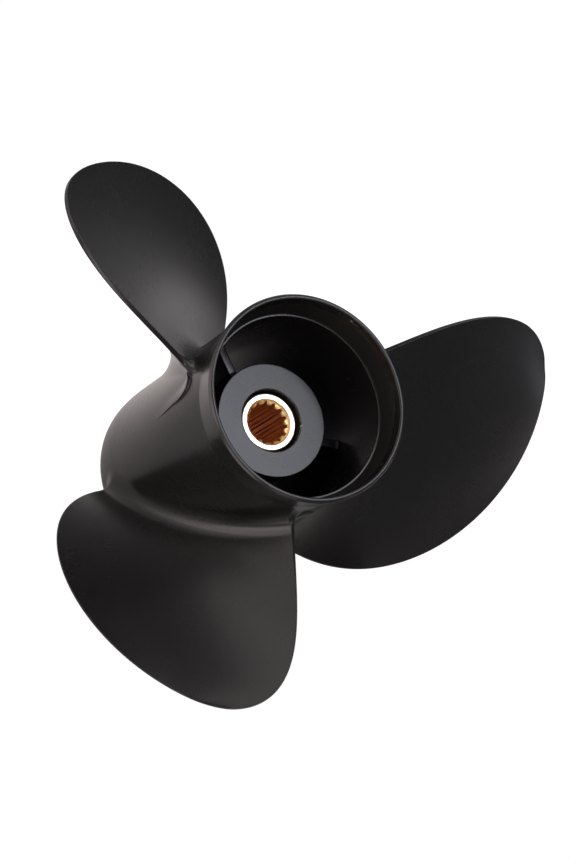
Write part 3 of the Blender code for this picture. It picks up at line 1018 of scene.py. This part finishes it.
def bush_rubber():
    """Dull black rubber with a fine grain."""
    made, graph, shader = new_material("bush_rubber")
    place = graph.node("ShaderNodeTexCoord", gives="Object")
    grain = noise(graph, place, RUBBER_GRAIN, detail=4)
    cloud = noise(graph, place, RUBBER_CLOUD)
    graph.fill(shader.inputs["Base Color"], blend(graph, cloud, RUBBER_DARK, RUBBER_LIGHT))
    graph.fill(shader.inputs["Roughness"], RUBBER_ROUGHNESS + RUBBER_GRAIN_ROUGHNESS * grain)
    raise_surface(graph, shader, grain * RUBBER_GRAIN_HEIGHT)
    return made


def machined_bronze():
    """Turned bronze: bright ends with fine rings, a gold chamfer with a painted shade line, and a
    bore in painted shade, a darker red-brown.
    """
    made, graph, shader = new_material("machined_bronze")
    place = graph.node("ShaderNodeTexCoord", gives="Object")
    x, y, z = graph.xyz(place)
    radius = graph.maths("SQRT", x * x + y * y)
    cloud = noise(graph, place, BRONZE_CLOUD, detail=3)
    turning = {"X": radius * TURNED_LINES, "Y": z * TURNED_LINES}
    lines = noise(graph, graph.node("ShaderNodeCombineXYZ", inputs=turning), scale=1.0)
    from_end = graph.smallest(SLEEVE_AFT - z, z - SLEEVE_FORWARD)
    inside = graph.maths("GREATER_THAN", CHAMFER_RADIUS - EDGE_MARGIN - radius, 0)
    # Painted shade in the bore: a darker red-brown below the teeth's ends
    below = from_end + (radius - SPLINE_ROOT_RADIUS) * TOOTH_END_SLOPE - TOOTH_END_DEPTH
    bore_shade = inside * graph.smallest(graph.largest(below / BORE_SHADE_DEPTH, 0), 1)
    # A thin painted shade line on the chamfer, between the face and the gold
    off_shade_line = graph.maths("ABSOLUTE", radius - SHADE_LINE_RADIUS) / SHADE_LINE_HALF_WIDTH
    line = graph.largest(1 - off_shade_line, 0) * SHADE_LINE_STRENGTH
    face = blend(graph, cloud, *FACE_COLOURS)
    gold = blend(graph, cloud, *GOLD_COLOURS)
    bore = blend(graph, cloud, *BORE_SHADE_COLOURS)
    end = blend(graph, line, blend(graph, inside, face, gold), SHADE_LINE_COLOUR)
    graph.fill(shader.inputs["Base Color"], blend(graph, bore_shade, end, bore))
    shader.inputs["Metallic"].default_value = 1.0
    roughness = BRONZE_ROUGHNESS + TURNED_ROUGHNESS * lines + INSIDE_ROUGHNESS * inside
    graph.fill(shader.inputs["Roughness"], roughness)
    raise_surface(graph, shader, lines * TURNED_HEIGHT)
    return made


def floor_white():
    """The floor and the wall as the camera sees them: white, with only a trace of shade."""
    made, graph, shader = new_material("floor_white")
    cloud = noise(graph, graph.node("ShaderNodeTexCoord", gives="Object"), WHITE_CLOUD)
    graph.fill(shader.inputs["Roughness"], WHITE_ROUGHNESS + WHITE_CLOUD_ROUGHNESS * cloud)
    shader.inputs["Base Color"].default_value = (WHITE_GREY, WHITE_GREY, WHITE_GREY, 1)
    shader.inputs["Emission Color"].default_value = (1, 1, 1, 1)
    shader.inputs["Emission Strength"].default_value = WHITE_GLOW
    return made


def bounce_white():
    """The floor as the casting mirrors it: bright beside the barrel and under the bore."""
    made, graph, shader = new_material("bounce_white")
    x, y = graph.xyz(graph.node("ShaderNodeTexCoord", gives="Object"), ("X", "Y"))

    def spot(centre, size, strength):
        across = x - centre[0]
        along = y - centre[1]
        distance = graph.maths("SQRT", across * across + along * along) / size
        return eased(1 - graph.smallest(distance, 1)) * strength

    lit = 1 - spot(*FLOOR_SHADE)
    glow = 0
    for bright_spot in FLOOR_SPOTS:
        glow = glow + spot(*bright_spot)
    graph.fill(shader.inputs["Base Color"], grey(graph, lit * FLOOR_GREY))
    graph.fill(shader.inputs["Emission Color"], grey(graph, glow * lit, *FLOOR_TINT))
    shader.inputs["Roughness"].default_value = FLOOR_ROUGHNESS
    shader.inputs["Emission Strength"].default_value = 1.0
    return made


def flat_sheet(name, size, finish):
    """A level square sheet at the floor, given by half its side."""
    mesh = bpy.data.meshes.new(name)
    corners = [(-size, -size, 0), (size, -size, 0), (size, size, 0), (-size, size, 0)]
    mesh.from_pydata(corners, [], [(0, 1, 2, 3)])
    mesh.materials.append(finish)
    return finished_object(name, mesh)


def make_studio():
    """A white floor and wall that only the camera sees, and the floor that lights the casting."""
    white = floor_white()
    floor = flat_sheet("studio_floor", STUDIO_SIZE, white)
    outer = STUDIO_SIZE + WALL_THICKNESS
    outline = [(STUDIO_SIZE, 0), (STUDIO_SIZE, STUDIO_SIZE), (outer, STUDIO_SIZE), (outer, 0)]
    wall = turned("studio_wall", np.array(outline), WALL_SEGMENTS, white)
    for sheet in (floor, wall):
        sheet.visible_glossy = False
        sheet.visible_diffuse = False
        sheet.visible_shadow = False
    bounce = flat_sheet("bounce_floor", STUDIO_SIZE, bounce_white())
    bounce.visible_camera = False


def make_camera():
    """A long lens aft of the propeller and towards -X, rolled as in the photo."""
    turn_cos, turn_sin = math.cos(CAMERA_TURN), math.sin(CAMERA_TURN)
    roll_cos, roll_sin = math.cos(CAMERA_ROLL), math.sin(CAMERA_ROLL)
    right = Vector((roll_cos * turn_cos, -roll_sin, roll_cos * turn_sin))
    up = Vector((roll_sin * turn_cos, roll_cos, roll_sin * turn_sin))
    back = Vector((-turn_sin, 0, turn_cos))
    target = Vector((0, 0, AIM_HEIGHT)) - right * CAMERA_OFFSET[0] - up * CAMERA_OFFSET[1]
    place = Matrix((right, up, back)).transposed().to_4x4()
    place.translation = target + back * CAMERA_DISTANCE
    data = bpy.data.cameras.new("photo_camera")
    data.lens = LENS
    data.sensor_width = SENSOR
    data.clip_start, data.clip_end = CAMERA_CLIP
    camera = finished_object("photo_camera", data)
    camera.matrix_world = place
    bpy.context.scene.camera = camera


def aimed_lamp(name, data, azimuth, elevation, height):
    """A lamp that the camera doesn't see, aimed at the shaft at a height."""
    turn, rise = math.radians(azimuth), math.radians(elevation)
    flat = math.cos(rise)
    towards = Vector((flat * math.cos(turn), flat * math.sin(turn), math.sin(rise)))
    lamp = finished_object(name, data)
    lamp.location = Vector((0, 0, height)) + towards * LIGHT_DISTANCE
    lamp.rotation_mode = "QUATERNION"
    lamp.rotation_quaternion = towards.to_track_quat("Z", "Y")
    lamp.visible_camera = False


def softbox(name, azimuth, elevation, size, radiance, colour):
    """A rectangular light that faces the propeller, given by the brightness that it shows."""
    data = bpy.data.lights.new(name, "AREA")
    data.shape = "RECTANGLE"
    data.size, data.size_y = size
    data.energy = radiance * math.pi * size[0] * size[1]
    data.color = colour
    aimed_lamp(name, data, azimuth, elevation, LENGTH / 2)


def bore_lamp(name, azimuth, elevation, power):
    """A narrow lamp that reaches the sleeve and its bore alone."""
    data = bpy.data.lights.new(name, "SPOT")
    data.energy = power
    data.color = WARM
    data.shadow_soft_size = BORE_LAMP_RADIUS
    data.spot_size = BORE_LAMP_CONE
    data.spot_blend = BORE_LAMP_FADE
    aimed_lamp(name, data, azimuth, elevation, SLEEVE_AFT)


def make_light():
    world = bpy.data.worlds.new("studio")
    bpy.context.scene.world = world
    world.use_nodes = True
    background = world.node_tree.nodes["Background"]
    background.inputs["Color"].default_value = (1, 1, 1, 1)
    background.inputs["Strength"].default_value = WORLD_LIGHT
    for box in SOFTBOXES:
        softbox(*box)
    for lamp in BORE_LAMPS:
        bore_lamp(*lamp)
    bpy.context.scene.view_settings.view_transform = "Standard"


def main():
    paint = satin_black_paint()
    barrel = make_barrel(paint)
    blades = make_blades(paint)
    pieces = {
        "barrel": barrel,
        "inner_hub": make_inner_hub(paint),
        "rubber_bush": make_rubber_bush(bush_rubber()),
        "spline_sleeve": make_sleeve(machined_bronze()),
        "blade_1": blades[0],
        "blade_2": blades[1],
        "blade_3": blades[2],
    }
    for node, piece in pieces.items():
        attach(piece, "root")
        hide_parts(node)
    ribs = make_ribs(paint)
    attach(ribs, "root")
    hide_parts("rib_1", "rib_2", "rib_3")
    ledges = make_ledges(barrel, blades[0], paint)
    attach(ledges, "root")
    make_studio()
    make_camera()
    make_light()


main()
